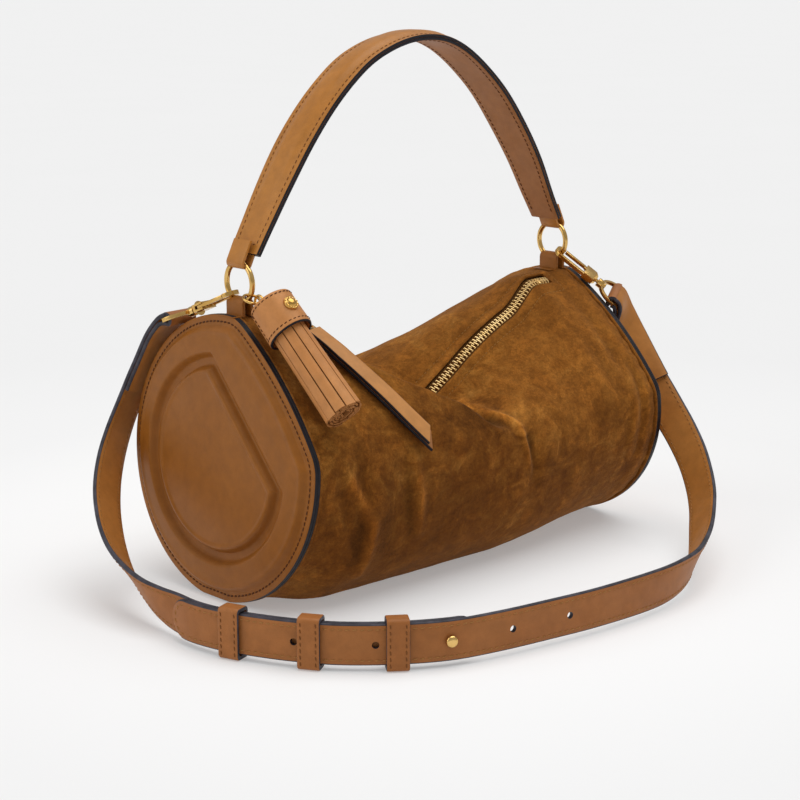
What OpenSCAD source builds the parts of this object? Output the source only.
// Barrel bag: slouchy suede body, leather end caps, arched handle, tassel,
// zip with leather puller, and a flat crossbody strap lying on the floor.
// Frame: +Z up, barrel axis along X, front at -Y, floor at Z = 0, origin on
// the floor under the middle of the barrel.

/* [Body] */
// Outer radius of the round end caps
cap_r = 85; // [80:1:90]
// Height of the barrel axis above the floor (less than the radius, so the bottom is flat)
axis_h = 84; // [83.5:0.5:84.5]
// Half length of the bag at the floor
half_len = 156.5; // [156:0.5:158]
// Inward lean of each end cap
lean = 4; // [3.6:0.1:4.4]
// Thickness of the suede
suede_t = 2.2; // [1.8:0.1:2.6]
// Sag of the zip in the middle of the bag
sag = 60; // [56:1:62]

/* [End caps] */
// Thickness of the leather end panel
panel_t = 2.2; // [1.8:0.1:2.4]
// Height of the embossed plateau
emboss_h = 1.2; // [0.8:0.1:1.6]
// Thickness of the dark edge band behind the panel
band_t = 4; // [3.6:0.1:4.2]
// Radial width of the dark edge band
band_w = 10; // [8:0.5:12]

/* [Rings and handle] */
// Outer diameter of the round rings
ring_od = 27; // [26.6:0.1:27.2]
// Wire diameter of the rings
ring_wire = 3.3; // [3.1:0.1:3.4]
// Distance of each ring from the middle of the bag
ring_x = 134; // [133.5:0.5:134.5]
// Height of the ring centres
ring_z = 187; // [186.5:0.5:187.5]
// Width of the handle in the middle
handle_w = 31; // [28:0.5:33]
// Width of the handle at its ends
handle_end_w = 24; // [20:0.5:26]
// Thickness of each leather layer of the handle
handle_t = 1.7; // [1.5:0.1:1.8]
// Width of the chapes and handle tabs
tab_w = 15; // [14:0.5:15.5]

/* [Zip] */
// Spacing of the zip teeth along the bag
tooth_pitch = 2.6; // [2.5:0.1:3]
// Half width of the window in the suede, along the zip surface
window_deg = 3.4; // [3.2:0.1:3.6]
// Width of the leather puller
puller_w = 11; // [10:0.2:12]

/* [Tassel] */
// Radius of the tassel roll
tassel_r = 13.2; // [12.8:0.1:13.4]
// Length of the fringe below the cap
fringe_l = 58; // [52:1:60]

/* [Strap] */
// Width of the crossbody strap
strap_w = 23; // [22:0.2:23]
// Thickness of each strap layer
strap_t = 2.8; // [2.4:0.1:3]
// Diameter of the stud holes
hole_d = 4; // [3.8:0.1:4.2]

/* [Hidden] */
$fn = 48;
tan_l = "#a8703c"; tan_d = "#8a5a2e"; suede_c = "#7a4a20"; edge_c = "#1c1a22"; gold = "#d8b066"; lining_c = "#6b5846";

// ---- small helpers
function unit(v) = v/norm(v);
function mixv(a,b,t) = a*(1-t)+b*t;
function smin(a,b,k) = let(h=max(0,min(1,0.5+0.5*(b-a)/k))) b*(1-h)+a*h-k*h*(1-h);
function smax(a,b,k) = -smin(-a,-b,k);
function cr(a,b,c,d,t) = 0.5*(2*b+(c-a)*t+(2*a-5*b+4*c-d)*t*t+(3*b-a-3*c+d)*t*t*t);
function path(P,n) = concat([for(i=[0:len(P)-2]) for(k=[0:n-1]) cr(P[max(i-1,0)],P[i],P[i+1],P[min(i+2,len(P)-1)],k/n)],[P[len(P)-1]]);
function tang(P,i) = unit(P[min(i+1,len(P)-1)]-P[max(i-1,0)]);
function ortho(w,t) = unit(w-(w*t)*t);
function frame(o,x,y,z) = [[x[0],y[0],z[0],o[0]],[x[1],y[1],z[1],o[1]],[x[2],y[2],z[2],o[2]],[0,0,0,1]];

// closed solid through a list of equal rings of points, end faces flat
module loft(R) {
  n=len(R[0]); m=len(R);
  polyhedron(points=[for(r=R) for(p=r) p],
    faces=concat([for(i=[0:m-2]) for(j=[0:n-1]) each let(a=i*n+j,b=i*n+(j+1)%n,c=(i+1)*n+(j+1)%n,d=(i+1)*n+j) [[a,c,b],[a,d,c]]],
      [for(j=[0:n/2-2]) each [[j,j+1,n-2-j],[j,n-2-j,n-1-j]]],
      [for(j=[0:n/2-2]) let(k=(m-1)*n) each [[k+j,k+n-2-j,k+j+1],[k+j,k+n-1-j,k+n-2-j]]]), convexity=6);
}
// ring of section points in the plane of w and nn about c; S holds [along w, along nn]
function sec(c,w,nn,S) = [for(s=S) c+w*s[0]+nn*s[1]];
// flat ribbon: path P, width directions W, half width a, layer from n0 to n1
function ribbon(P,W,a,n0,n1) = [for(i=[0:len(P)-1]) let(t=tang(P,i),w=ortho(W[i],t),nn=cross(t,w))
   sec(P[i],w,nn,[[-a,n0],[a,n0],[a,n1],[-a,n1]])];
// the same with a half width and a shift that change along the path
function ribbon_v(P,W,A,N,th) = [for(i=[0:len(P)-1]) let(t=tang(P,i),w=ortho(W[i],t),nn=cross(t,w))
   sec(P[i],w,nn,[[-A[i],N[i]],[A[i],N[i]],[A[i],N[i]+th],[-A[i],N[i]+th]])];

// ---- barrel section
fn_deg = 223.95;              // direction of the flattened top front face
bow_r = 232;                  // radius of its gentle bow
bow_k = bow_r-72.9*cap_r/85;
function r_bow(p) = let(d=p-fn_deg) abs(d)>80 ? 400 : -bow_k*cos(d)+sqrt(bow_r*bow_r-pow(bow_k*sin(d),2));
function r_k(p,k) = let(f=(cos(p)>0.5) ? axis_h/cos(p) : 400) smin(min(cap_r,f),r_bow(p),k);
function r_out(p) = r_k(p,3);
function off_floor(p) = let(q=min(p,360-p)) min(1,max(0,(q-9)/8));
function out_pt(p,inset,k=3) = let(r=r_k(p,k)-inset*off_floor(p)) [r*sin(p), axis_h-r*cos(p)];
function cap_pt(p,inset) = let(r=r_out(p)-inset) [r*sin(p), axis_h-r*cos(p)];

// ---- slouch: depth of the zip below the cap outline, along the bag
zip_x0 = -120; zip_x1 = 118; zip_deg = 193.5;
slope = tan(30);
right_dip = [[-60,96],[5,54],[13,49],[22.5,43],[32,36.5],[41.5,30.8],[51,25.6],[61.5,20.6],[71,16.4],[81.5,12.4],[91,8],[102,2.5],[112,-3],[140,-14]];
function depth(x) = smax(smin(slope*(x+119),lookup(x,right_dip),8),0,3)*sag/60;
// the back and the crest sink in a wider, shallower trough
function trough(x) = smax(smin(0.285*(143-x),0.35*(x+141),4),0,3)*sag/60;
share_b = [[0,0],[45,0],[60,0.06],[90,0.17],[104,0.27],[116,0.42],[128,0.66],[140,0.92],[152,1],[162,0.86],[171,0.56],[179,0.26],[185,0.08],[188,0],[360,0]];
share_d = [[0,0],[152,0],[162,0.16],[171,0.42],[179,0.72],[185,0.92],[188,1],[360,1]];
share_y = [[0,0],[30,0],[60,0.03],[90,0.06],[120,0.1],[150,0.1],[168,0.07],[180,0.03],[188,0],[360,0]];
ridge = [[-150,206],[-110,212],[-84,220],[-62,233],[-45,241],[-31,247],[-20,252],[-10,259],[4,267],[25,280],[60,290],[150,294]];
function front(x,p) = let(r=lookup(x,ridge),u=(r-p)/(r-199),q=min(1,max(0,(x+14)/40))) p<=199 ? 1 : (p>=r ? 0 : mixv(sin(90*u),u*u*(3-2*u),q));
full = [[0,1],[135,1],[170,0.2],[205,0.2],[232,1],[360,1]];
function bulge(x,p) = 3*(1-pow(x/150,2))*pow(sin(p/2),2)*lookup(p,full)*off_floor(p);
// towards the right end the zip moves up to the crest
function warp(x,p) = let(u=min(1,max(0,(x-74)/36))) p-5*u*u*(3-2*u)*max(0,1-abs(p-zip_deg)/26);
inset_s = 1;
// point of the suede surface (nominal x, angle p)
function body_pt(x,pw) = let(p=warp(x,pw), o=out_pt(p,inset_s,3+9*(1-pow(x/150,2))), d=depth(x), tr=trough(x), b=bulge(x,p),
    y=o[0]+tr*lookup(pw,share_y)+b*sin(p)*0.9, z=o[1]-tr*lookup(pw,share_b)-d*lookup(pw,share_d)*front(x,pw)-b*cos(p)*0.2) [x*(1-tan(lean)*z/half_len),y,z];
function body_n(x,p) = let(a=body_pt(x,p-2.5),b=body_pt(x,p+2.5),ty=b[1]-a[1],tz=b[2]-a[2],l=norm([ty,tz])) [0,tz/l,-ty/l];
function body_in(x,p,t) = body_pt(x,p)-body_n(x,p)*t;
phis = [0,8.6,20,32,44,56,68,80,92,104,116,128,140,152,162,171,179,185,zip_deg-window_deg,zip_deg+window_deg,202,208,215,222,229,236,243,250,257,264,272,282,293,305,317,330,340,351.4];
xs = [-150,-140,-130,zip_x0,-110,-98,-86,-74,-62,-51,-41,-32,-24,-17,-10,-3,6,15,25,36,47,58,70,82,94,106,zip_x1,128,139,150];
// tube wall with a window: i range of x, one window column of p
module shell(X,t0,t1,iw0,iw1,jw) {
  n=len(phis); m=len(X);
  function id(i,j,s) = (s*m+i)*n+(j%n);
  open = function(i,j) (j%n==jw && i>=iw0 && i<iw1);
  polyhedron(points=concat([for(i=[0:m-1]) for(p=phis) body_in(X[i],p,t0)],[for(i=[0:m-1]) for(p=phis) body_in(X[i],p,t1)]),
   faces=concat(
    [for(i=[0:m-2]) for(j=[0:n-1]) if(!open(i,j)) each [[id(i,j,0),id(i+1,j,0),id(i+1,j+1,0)],[id(i,j,0),id(i+1,j+1,0),id(i,j+1,0)]]],
    [for(i=[0:m-2]) for(j=[0:n-1]) if(!open(i,j)) each [[id(i,j,1),id(i+1,j+1,1),id(i+1,j,1)],[id(i,j,1),id(i,j+1,1),id(i+1,j+1,1)]]],
    [for(j=[0:n-1]) each [[id(0,j,0),id(0,j+1,0),id(0,j+1,1)],[id(0,j,0),id(0,j+1,1),id(0,j,1)]]],
    [for(j=[0:n-1]) each [[id(m-1,j,0),id(m-1,j+1,1),id(m-1,j+1,0)],[id(m-1,j,0),id(m-1,j,1),id(m-1,j+1,1)]]],
    [for(i=[iw0:iw1-1]) each [[id(i,jw,0),id(i+1,jw,1),id(i,jw,1)],[id(i,jw,0),id(i+1,jw,0),id(i+1,jw,1)]]],
    [for(i=[iw0:iw1-1]) each [[id(i,jw+1,0),id(i,jw+1,1),id(i+1,jw+1,1)],[id(i,jw+1,0),id(i+1,jw+1,1),id(i+1,jw+1,0)]]],
    [[id(iw0,jw,0),id(iw0,jw,1),id(iw0,jw+1,1)],[id(iw0,jw,0),id(iw0,jw+1,1),id(iw0,jw+1,0)]],
    [[id(iw1,jw,0),id(iw1,jw+1,1),id(iw1,jw,1)],[id(iw1,jw,0),id(iw1,jw+1,0),id(iw1,jw+1,1)]]), convexity=8);
}
xs_in = [-148,-134,zip_x0,-98,-76,-56,-38,-22,-9,4,22,44,68,94,zip_x1,133,148];
module suede_body() { color(suede_c) shell(xs,0,suede_t,3,26,18); }
module lining() { color(lining_c) shell(xs_in,suede_t+2.2,suede_t+3,2,14,18); }

// ---- end caps, built on the left and mirrored
cap_n = 96;
module cap_plate(inset,x0,h) { translate([x0,0,0]) rotate([90,0,90]) linear_extrude(h) polygon([for(i=[0:cap_n-1]) cap_pt(i*360/cap_n,inset)]); }
module at_left() { translate([-half_len,0,sin(lean)*(panel_t+band_t)]) rotate([0,lean,0]) children(); }
module end_panel() {
  color(tan_l) at_left() difference() {
    union() { cap_plate(0,0,panel_t); cap_plate(8,-emboss_h,emboss_h+0.2); }
    difference() { cap_plate(24,-emboss_h-1,1+emboss_h*0.9); cap_plate(33,-emboss_h-2,4); }
  }
}
module end_band() { color(edge_c) at_left() difference() { cap_plate(0,panel_t,band_t); cap_plate(band_w,panel_t-1,band_t+2); } }
module end_board() { color(lining_c) at_left() cap_plate(band_w+0.2,panel_t,band_t-1.6); }
module left_end_panel() { end_panel(); }
module right_end_panel() { mirror([1,0,0]) end_panel(); }
module left_end_band() { end_band(); }
module right_end_band() { mirror([1,0,0]) end_band(); }
module left_end_board() { end_board(); }
module right_end_board() { mirror([1,0,0]) end_board(); }

// ---- rings, chapes
ring_R = (ring_od-ring_wire)/2;
module torus(R,r) { rotate_extrude($fn=64) translate([R,0]) circle(r, $fn=24); }
module ring(s) { color(gold) translate([s*ring_x,0,ring_z]) rotate([0,90,0]) torus(ring_R,ring_wire/2); }
module left_ring() { ring(-1); }
module right_ring() { ring(1); }
// loop of leather folded over a wire that runs along Y; legs of length l, layer t, clearance c
module strip_loop(l,t,c,w) {
  ri=ring_wire/2+c;
  rotate([90,0,0]) linear_extrude(w,center=true) union() {
    difference() { circle(ri+t); circle(ri); translate([-20,-20]) square([40,20]); }
    translate([ri,-l]) square([t,l]); translate([-ri-t,-l]) square([t,l]);
  }
}
chape_z = ring_z-ring_R;
module chape() {
  color(tan_d) difference() {
    union() {
      translate([-ring_x,0,chape_z]) strip_loop(chape_z-167.3,2,0.45,tab_w);
      translate([-ring_x-4.1-7,-tab_w/2,167.1]) cube([7,tab_w,1.4]);
      translate([-ring_x+4.1,-tab_w/2,167.1]) cube([7,tab_w,1.4]);
    }
    translate([-ring_x,0,ring_z]) rotate([0,90,0]) torus(ring_R,ring_wire/2+0.35);
    // seat of the feet follows the bag's crest
    translate([-ring_x-20,0,axis_h]) rotate([0,90,0]) cylinder(r=cap_r-inset_s+0.35,h=40,$fn=180);
  }
}
// each hook's eye passes close by its chape, which is cut back there
module left_chape() { difference() { chape(); on_left() rotate([90,0,0]) cylinder(r=6.1,h=5.2,center=true); } }
module right_chape() { difference() { mirror([1,0,0]) chape(); on_right() rotate([90,0,0]) cylinder(r=6.1,h=5.4,center=true); } }

// ---- handle: arched strap in the XZ plane
hp = [[-131,204.5],[-121,221.5],[-108,243],[-93,265.5],[-77,285],[-61,300.5],[-45,312.5],[-28,320.5],[-11,325.2],[5,326.5],[21,324.5],[38,317.5],[56,305],[74,288.5],[92,266],[107,244],[119.5,221.5],[129.5,204.5]];
hpath = path([for(q=hp) [q[0],0,q[1]]],2);
function hw(q) = handle_end_w/2+(handle_w-handle_end_w)/2*min(1,max(0,(q[2]-204)/55));
function hsec(i,S) = let(t=tang(hpath,i),w=[0,1,0],nn=cross(t,w),a=hw(hpath[i])) sec(hpath[i],w,nn,[for(q=S) [a*q[0],q[1]]]);
// rise of the padded middle at point i
function rise(i) = 0.2+2.1*min(1,max(0,(min(i,len(hpath)-1-i)-2)/4));
hn = len(hpath);
module handle_outer() { color(tan_l) loft([for(i=[0:hn-1]) let(h=rise(i)) hsec(i,[[-1,-handle_t],[-0.62,-handle_t],[-0.4,h-handle_t],[0.4,h-handle_t],[0.62,-handle_t],[1,-handle_t],[1,0],[0.66,0.05],[0.42,h+0.05],[-0.42,h+0.05],[-0.66,0.05],[-1,0]])]); }
module handle_core() { color(lining_c) loft([for(i=[4:hn-5]) let(h=rise(i)) hsec(i,[[-0.58,-handle_t-0.03],[0.58,-handle_t-0.03],[0.38,h-handle_t-0.05],[-0.38,h-handle_t-0.05]])]); }
module handle_lining() { color(tan_d) loft([for(i=[0:hn-1]) hsec(i,[[-1,-handle_t-2.3],[1,-handle_t-2.3],[1,-handle_t-0.05],[-1,-handle_t-0.05]])]); }
// tab: folded round the ring, its legs running up under the handle end
tab_z = ring_z+ring_R;
module handle_tab(s,ang) {
  color(tan_d) difference() { translate([s*ring_x,0,tab_z]) rotate([0,ang,0]) rotate([180,0,0]) strip_loop(13,1.5,0.4,tab_w);
    translate([s*ring_x,0,ring_z]) rotate([0,90,0]) torus(ring_R,ring_wire/2+0.35); }
}
module handle_left_tab() { handle_tab(-1,26); }
module handle_right_tab() { handle_tab(1,-26); }

// ---- zip
function zl(x) = body_pt(x,zip_deg-window_deg);
function zr(x) = body_pt(x,zip_deg+window_deg);
function zp(x) = let(c=(zl(x)+zr(x))/2) [0.93*x,c[1],c[2]];
function zt(x) = unit(zp(x+0.5)-zp(x-0.5));
function zwx(x) = let(v=zl(x)-zr(x)) unit([0,v[1],v[2]]);
function zw(x) = ortho(zwx(x),zt(x));
function znn(x) = cross(zt(x),zw(x));
zxs = [-118.5,-114,-108,-100,-88,-76,-64,-52,-40,-30,-22,-16,-11,-6,0,8,20,32,44,56,68,80,88,94,100,106,112,116.5];
function tsec(x,a,b) = let(w=zwx(x),nn=unit(cross(zt(x),w))) sec(zp(x),w,nn,[[a,-3.5],[b,-3.5],[b,-2.8],[a,-2.8]]);
module tape(s) { loft([for(x=zxs) s>0 ? tsec(x,0.75,8) : tsec(x,-8,-0.75)]); }
module zip_tape_front() { color(suede_c) tape(-1); }
module zip_tape_back() { color(suede_c) tape(1); }
module teeth(s) { for(x=[-113+(s>0?0:tooth_pitch/2):tooth_pitch:112]) multmatrix(frame(zp(x),zt(x),zw(x),znn(x)))
    translate([-0.75, s>0?0.45:-2.9, -2.78]) cube([1.5,2.45,2.2]); }
module zip_teeth_front() { color(gold) teeth(-1); }
module zip_teeth_back() { color(gold) teeth(1); }
module zip_stops() { color(gold) for(x=[-116.6,115]) multmatrix(frame(zp(x),zt(x),zw(x),znn(x))) translate([-1,-3,-2.78]) cube([2,6,2.4]); }
slider_x = -110;
sl_o = zp(slider_x); sl_t = zt(slider_x); sl_w = zw(slider_x); sl_n = znn(slider_x);
pin_o = sl_o+sl_n*4.3;
// centre line of the leather puller over the flattened front
pu_deg = [204,211,219,227,235,243,251,258];
function pu_pt(k) = let(a=pu_deg[k],r=r_out(a)-inset_s+4.9) [-103+3.6*k+0.23*k*k,r*sin(a),axis_h-r*cos(a)];
pl_x = unit(pu_pt(0)-pin_o);
pl_y = ortho([1,0,0],pl_x);
pl_z = cross(pl_x,pl_y);
module on_pin() { multmatrix(frame(pin_o,pl_x,pl_y,pl_z)) children(); }
module zip_slider() { color(gold) difference() {
    union() {
      multmatrix(frame(sl_o,sl_t,sl_w,sl_n)) {
        translate([-5.5,-4.1,-0.2]) cube([11,8.2,1]);
        translate([-5.5,3.25,-1.9]) cube([11,0.85,1.8]);
        translate([-5.5,-4.1,-1.9]) cube([11,0.85,1.8]);
        translate([-5.5,-3.7,-4.9]) cube([11,7.4,1]);
        translate([-5.5,-0.25,-4.2]) cube([4,0.5,4.2]);
        translate([0,0,0.6]) cylinder(d=2,h=3.7);
      }
      on_pin() rotate([90,0,0]) cylinder(d=3.5,h=4,center=true);
    }
    // hole for the link pin
    on_pin() rotate([90,0,0]) cylinder(d=1.5,h=20,center=true);
  } }
module puller_link() { color(gold) difference() { on_pin() {
    for(s=[-1,1]) translate([0,2.85*s,0]) { rotate([90,0,0]) cylinder(r=1.6,h=1,center=true); translate([0,-0.5,-1.6]) cube([6.4,1,3.2]); }
    difference() { translate([4.6,-3.35,-1.6]) cube([1.8,6.7,3.2]); cylinder(r=4.7,h=6,center=true); }
    rotate([90,0,0]) cylinder(d=1.34,h=6.6,center=true);
    translate([6.3,-2.6,-0.35]) cube([4.6,5.2,0.7]);
  }
  // underside clears the slider's top plate
  multmatrix(frame(sl_o,sl_t,sl_w,sl_n)) translate([-9,-7,-5]) cube([20,14,6.2]);
  } }
pu_P = path(concat([pin_o+pl_x*7.4],[for(k=[1:7]) pu_pt(k)]),2);
pu_n = len(pu_P);
function pu_end(i,x) = i==pu_n-1 ? x : 0;
function pu_ring(i,n0,n1,tip,more) = let(t=tang(pu_P,i),w=ortho([1,0,0],t),nn=cross(t,w),a=puller_w/2,c=pu_P[i]+t*pu_end(i,more))
   [c-w*a+nn*n0+t*pu_end(i,tip), c+w*a+nn*n0, c+w*a+nn*n1, c-w*a+nn*n1+t*pu_end(i,tip)];
module puller_top() { color(tan_l) loft([for(i=[0:pu_n-1]) pu_ring(i,0.45,2.4,6,0.5)]); }
module puller_under() { color(tan_d) loft([for(i=[0:pu_n-1]) pu_ring(i,-2.4,-0.45,8,3)]); }

// ---- tassel on the left ring
ts_w = [-ring_x,-ring_R*cos(40),ring_z-ring_R*sin(40)];
ts_a = unit([0.066,-0.7196,-0.6943]);
ts_x = ortho([1,0,0],ts_a);
ts_y = cross(ts_a,ts_x);
ts_o = [-ring_x-0.3,0,axis_h]+[0,-0.694,0.72]*(86.9+tassel_r-12.4)+[0,0.72,0.694]*45.5;
ts_u = unit([0.03,-0.916,-0.4]);
ts_e = ts_w+ts_u*6.9;
ts_v = unit(ts_o-ts_e);
module tassel_upper_ring() { color(gold) multmatrix(frame(ts_w+ts_u*2,ts_u,ortho([1,0,0],ts_u),cross(ts_u,ortho([1,0,0],ts_u)))) torus(4.9,0.85); }
module tassel_lower_ring() { color(gold) multmatrix(frame(ts_e+ts_v*2.7,ts_v,cross(ts_v,ortho([1,0,0],ts_v)),-ortho([1,0,0],ts_v))) torus(4.4,0.8); }
cap_l = 24;
module on_roll() { multmatrix(frame(ts_o,ts_x,ts_y,ts_a)) children(); }
module tassel_cap() { color(tan_l) on_roll() difference() { cylinder(r1=tassel_r,r2=tassel_r+0.6,h=cap_l,$fn=96);
    translate([0,0,2]) cylinder(r1=tassel_r-1.7,r2=tassel_r-1.1,h=cap_l,$fn=96); } }
module tassel_core() { color(tan_d) on_roll() translate([0,0,2.1]) cylinder(r=tassel_r-2.2,h=7,$fn=64); }
module tassel_fringe() { color(tan_l) on_roll() translate([0,0,9.3]) {
    difference() { cylinder(r1=tassel_r-2,r2=tassel_r-1.4,h=cap_l-9.5,$fn=96); translate([0,0,1]) cylinder(r=tassel_r-3.4,h=90,$fn=96); }
    difference() { translate([0,0,cap_l-9.6]) cylinder(r1=tassel_r-1.4,r2=tassel_r+0.2,h=fringe_l,$fn=96); translate([0,0,1]) cylinder(r=tassel_r-3.4,h=90,$fn=96); }
    difference() { cylinder(r=tassel_r-4.2,h=cap_l-10+fringe_l,$fn=96); translate([0,0,1]) cylinder(r=tassel_r-6.2,h=90,$fn=96); }
    cylinder(r=tassel_r-7,h=cap_l-10.4+fringe_l,$fn=64);
  } }
module tassel_loop() { color(tan_d) difference() {
    union() { multmatrix(frame(ts_e+ts_v*7.6,ts_v,ortho([1,0,0],ts_v),cross(ts_v,ortho([1,0,0],ts_v)))) {
        cylinder(r=2.3,h=2.6,center=true); translate([0,-2.3,-1.3]) cube([4.6,4.6,2.6]); } }
    multmatrix(frame(ts_e+ts_v*7.6,ts_v,ortho([1,0,0],ts_v),cross(ts_v,ortho([1,0,0],ts_v)))) cylinder(r=1.3,h=9,center=true);
    on_roll() translate([0,0,0.02]) cylinder(r=10,h=9);
    multmatrix(frame(ts_e+ts_v*2.7,ts_v,cross(ts_v,ortho([1,0,0],ts_v)),-ortho([1,0,0],ts_v))) torus(4.4,1);
  } }
module tassel_stud() { color(gold) on_roll() translate([0,tassel_r-0.1,11.5]) rotate([-90,0,0]) {
    cylinder(d=9,h=1.8); translate([0,0,1.6]) cylinder(d1=7.4,d2=4,h=1.6); } }

// ---- snap hooks; the local frame has z from the ring to the strap, x across
module hook_body_l() {
  difference() {
    union() {
      rotate([90,0,0]) linear_extrude(2.6,center=true) difference() {
        union() { circle(5.7); translate([-5.7,0]) square([11.4,26]); }
        circle(3.35); translate([-3.35,0]) square([6.7,17]); translate([0,17]) circle(3.35);
        translate([1.5,0.9]) square([6,24.2]);
      }
      translate([-5.85,-2.3,18.6]) cube([11.7,4.6,8]);
      translate([0,0,26.4]) cylinder(d1=9,d2=6,h=2);
    }
    // slot for the tail of the gate
    translate([0.9,-1.05,11]) cube([6,2.1,13.6]);
  }
  translate([3.9,0,21.2]) rotate([90,0,0]) cylinder(d=1.2,h=4.4,center=true);
  translate([0,0,28.2]) cylinder(d=2.6,h=6.9);
  translate([0,0,34.85]) cylinder(d=4.2,h=1.3);
}
module hook_gate_l() {
  difference() {
    union() {
      translate([3.5,-1.05,1.4]) cube([2.1,2.1,16.4]);
      translate([2.6,-0.8,17.4]) cube([3,1.6,5.4]);
    }
    translate([3.9,0,21.2]) rotate([90,0,0]) cylinder(d=1.34,h=9,center=true);
  }
}
bail_R = 13.2;
bail_bar = 32.4+bail_R;
module bail_l() {
  difference() {
    union() {
      translate([0,0,30.2]) cylinder(d=6.2,h=4.1);
      translate([0,0,bail_bar]) difference() {
        rotate([90,0,0]) cylinder(r=bail_R,h=2.4,center=true);
        rotate([90,0,0]) cylinder(r=bail_R-2,h=4,center=true);
        translate([-20,-5,0.8]) cube([40,10,20]);
      }
      translate([-bail_R+0.9,-1.1,bail_bar-1]) cube([2*bail_R-1.8,2.2,2]);
    }
    cylinder(d=2.8,h=36);
  }
}
// right hook: from the ring's lower front over the end cap
rh_w = [ring_x,-ring_R*cos(42),ring_z-ring_R*sin(42)];
rh_z = unit([0.53,-0.575,-0.615]);
rh_x = ortho([0.93,0.34,0.15],rh_z);
rh_y = cross(rh_z,rh_x);
rh_o = rh_w+rh_z*1;
lh_w = [-ring_x,ring_R*cos(42),ring_z-ring_R*sin(42)];
lh_z = unit([-0.15,0.89,-0.39]);
lh_x = ortho([-1,-0.14,0],lh_z);
lh_y = cross(lh_z,lh_x);
lh_o = lh_w+lh_z*0.7;
module on_right() { multmatrix(frame(rh_o,rh_x,rh_y,rh_z)) children(); }
module on_left() { multmatrix(frame(lh_o,lh_x,lh_y,lh_z)) children(); }
module right_hook_body() { color(gold) on_right() hook_body_l(); }
module right_hook_gate() { color(gold) on_right() hook_gate_l(); }
module right_bail() { color(gold) on_right() bail_l(); }
module left_hook_body() { color(gold) on_left() hook_body_l(); }
module left_hook_gate() { color(gold) on_left() hook_gate_l(); }
module left_bail() { color(gold) on_left() bail_l(); }

// ---- crossbody strap
st_z = 3.2+strap_w/2;
// line between the two overlapping layers, on the floor in front, from the tip to the right
lay = [[-215.4,-42],[-216,-60],[-212.3,-80],[-204.5,-100],[-194.5,-119.5],[-180.5,-139.5],[-158,-159.5],[-133,-174.3],[-104,-182.3],[-70,-188],[-36,-192.5],[5,-194]];
rb = rh_o+rh_z*bail_bar;
lb = lh_o+lh_z*bail_bar;
fold_r = 1.75;
// right half: centre points and the direction of its upper edge
r_up = [[rb-rh_y*1.6,rh_x],[rb+rh_z*5-rh_y*1.6,rh_x],[[166.4,-39,131],[0.97,0.02,0.22]],[[169,-49,111],[0.9,-0.3,0.31]],[[169.8,-61,93.5],[0.75,-0.5,0.42]],[[168.2,-75,78],[0.57,-0.62,0.54]],
  [[163.4,-91,64.5],[0.4,-0.66,0.63]],[[155,-107,53],[0.3,-0.67,0.68]],[[143.5,-122,43],[0.25,-0.67,0.7]],[[129,-136.5,35],[0.25,-0.66,0.71]],[[112,-150,28.5],[0.24,-0.64,0.73]],
  [[95,-162.5,23.4],[0.2,-0.58,0.79]],[[76.5,-174.5,19.4],[0.13,-0.46,0.88]],[[57.5,-184.5,16.6],[0.05,-0.3,0.95]],[[32,-191.5,15.1],[0,-0.12,0.99]]];
r_fl = [for(i=[len(lay)-1:-1:0]) [[lay[i][0],lay[i][1],st_z],[0,0,1]]];
r_all = concat(r_up,r_fl);
rP = path([for(q=r_all) q[0]],2); rW = path([for(q=r_all) q[1]],2);
l_up = [[lb+lh_y*(fold_r+strap_t+0.15),lh_x],[lb+lh_z*8+lh_y*(fold_r+strap_t-0.6),lh_x],[[-141.9,71.4,148.9],[-0.95,-0.23,0.2]],[[-143,83.2,130.7],[-0.9,-0.28,0.33]],[[-147,92,111.9],[-0.86,-0.3,0.42]],[[-154.7,93.9,95],[-0.83,-0.27,0.49]],
  [[-166.4,87.5,80.3],[-0.83,-0.22,0.52]],[[-178.9,76.3,67.7],[-0.83,-0.16,0.53]],[[-190.3,62.5,56],[-0.83,-0.1,0.55]],[[-199.5,47.6,45.6],[-0.81,-0.08,0.58]],[[-207.3,31.5,37],[-0.77,-0.08,0.63]],
  [[-211.8,17,29.2],[-0.7,-0.11,0.71]],[[-214.8,1,23],[-0.57,-0.1,0.82]],[[-216.3,-14,18.6],[-0.4,-0.05,0.91]],[[-216.2,-28,16],[-0.2,0,0.98]]];
l_all = concat(l_up,[for(i=[0:7]) [[lay[i][0],lay[i][1],st_z],[0,0,1]]],[[[-116,-179.4,st_z],[0,0,1]]]);
lP = path([for(q=l_all) q[0]],2); lW = path([for(q=l_all) q[1]],2);
// half width: a little narrower at the bail
function sw(i) = mixv(10.7,strap_w/2,min(1,i/4));
module hole_at(p,dir) { translate([p[0],p[1],st_z]) rotate([0,0,dir]) rotate([90,0,0]) cylinder(d=hole_d,h=16,center=true,$fn=32); }
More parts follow.
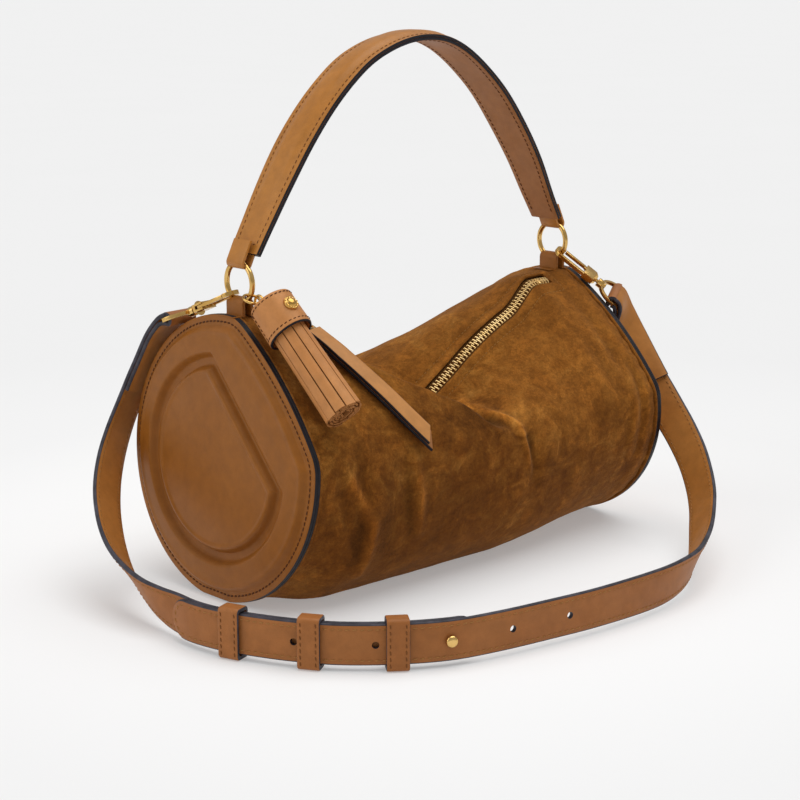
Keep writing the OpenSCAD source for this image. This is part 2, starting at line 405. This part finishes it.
// rounds the end of a strap standing on edge: e is the end point, dir the way it points
module round_end(e,dir) { translate([e[0],e[1],st_z]) rotate([0,0,dir]) rotate([90,0,0]) linear_extrude(20,center=true)
    difference() { translate([-strap_w/2,-strap_w/2-1]) square([strap_w/2+6,strap_w+2]); translate([-strap_w/2,0]) circle(strap_w/2); } }
holes = [[-194.5,-119.5,-60],[-166.5,-152.5,-43],[-133,-174.3,-26],[-96,-184,-12],[-57,-190,-8]];
module strap_right() { color(tan_l) difference() {
    loft(ribbon_v(rP,rW,[for(i=[0:len(rP)-1]) sw(i)],[for(i=[0:len(rP)-1]) -0.15-strap_t],strap_t));
    for(h=holes) hole_at(h,h[2]);
    round_end([-215.3,-41.8],90);
  } }
module strap_left() { color(tan_d) difference() {
    loft(ribbon_v(lP,lW,[for(i=[0:len(lP)-1]) sw(i)],[for(i=[0:len(lP)-1]) -0.15-strap_t],strap_t));
    hole_at([-133,-174.3],-26);
    round_end([-116,-179.4],-17);
  } }
// folded-back ends round the bail bars: a bend and the returned layer
fl_n = 8;
module strap_bend() { translate([0,0,bail_bar]) difference() {
    rotate([0,90,0]) cylinder(r=fold_r+strap_t,h=21.2,center=true);
    rotate([0,90,0]) cylinder(r=fold_r,h=30,center=true);
    translate([-20,-10,-0.04]) cube([40,20,10]);
  } }
module right_strap_bend() { color(tan_l) on_right() strap_bend(); }
module left_strap_bend() { color(tan_d) on_left() strap_bend(); }
module right_strap_flap() { color(tan_l) loft(ribbon_v([for(i=[0:fl_n]) rP[i]],rW,[for(i=[0:fl_n]) sw(i)],[for(i=[0:fl_n]) mixv(fold_r+1.6,0.1,min(1,i/3))],strap_t)); }
module left_strap_flap() { color(tan_d) loft(ribbon_v([for(i=[0:fl_n]) lP[i]],lW,[for(i=[0:fl_n]) sw(i)],[for(i=[0:fl_n]) mixv(-2*fold_r-2*strap_t-0.15,-0.4-2*strap_t,min(1,i/2))],strap_t)); }

// ---- keepers round both layers: position on the layer line, direction
keep = [[-210.3,-86,-70.5],[-190,-127,-57],[-157.6,-159.8,-36]];
keep_h = 29.2;
module keeper(k) { color(tan_l) translate([k[0],k[1],0]) rotate([0,0,k[2]]) difference() {
    translate([-6.2,-5.7,0]) cube([12.4,11.4,keep_h]);
    translate([-10,-3.9,2.4]) cube([20,7.8,keep_h-4.6]);
  } }
module keeper_1() { keeper(keep[0]); }
module keeper_2() { keeper(keep[1]); }
module keeper_3() { keeper(keep[2]); }

// ---- stud through both layers
module on_stud() { translate([-133,-174.3,st_z]) rotate([0,0,-26]) rotate([90,0,0]) children(); }
module stud_post() { color(gold) on_stud() { translate([0,0,-5]) cylinder(d=9,h=1.2); difference() { translate([0,0,-4]) cylinder(d=3.4,h=7.6); translate([0,0,0.5]) cylinder(d=1.9,h=8); } } }
module stud_head() { color(gold) on_stud() difference() { union() { translate([0,0,3.8]) cylinder(d=6.6,h=2.2); translate([0,0,0.9]) cylinder(d=1.76,h=3); }
    translate([-5,-0.45,5.2]) cube([10,0.9,2]); } }

suede_body();
lining();
left_end_panel();
right_end_panel();
left_end_band();
right_end_band();
left_end_board();
right_end_board();
left_ring();
right_ring();
left_chape();
right_chape();
handle_outer();
handle_core();
handle_lining();
handle_left_tab();
handle_right_tab();
zip_tape_front();
zip_tape_back();
zip_teeth_front();
zip_teeth_back();
zip_stops();
zip_slider();
puller_link();
puller_top();
puller_under();
tassel_upper_ring();
tassel_lower_ring();
tassel_loop();
tassel_cap();
tassel_core();
tassel_fringe();
tassel_stud();
right_hook_body();
right_hook_gate();
right_bail();
left_hook_body();
left_hook_gate();
left_bail();
strap_right();
strap_left();
right_strap_bend();
left_strap_bend();
right_strap_flap();
left_strap_flap();
keeper_1();
keeper_2();
keeper_3();
stud_post();
stud_head();
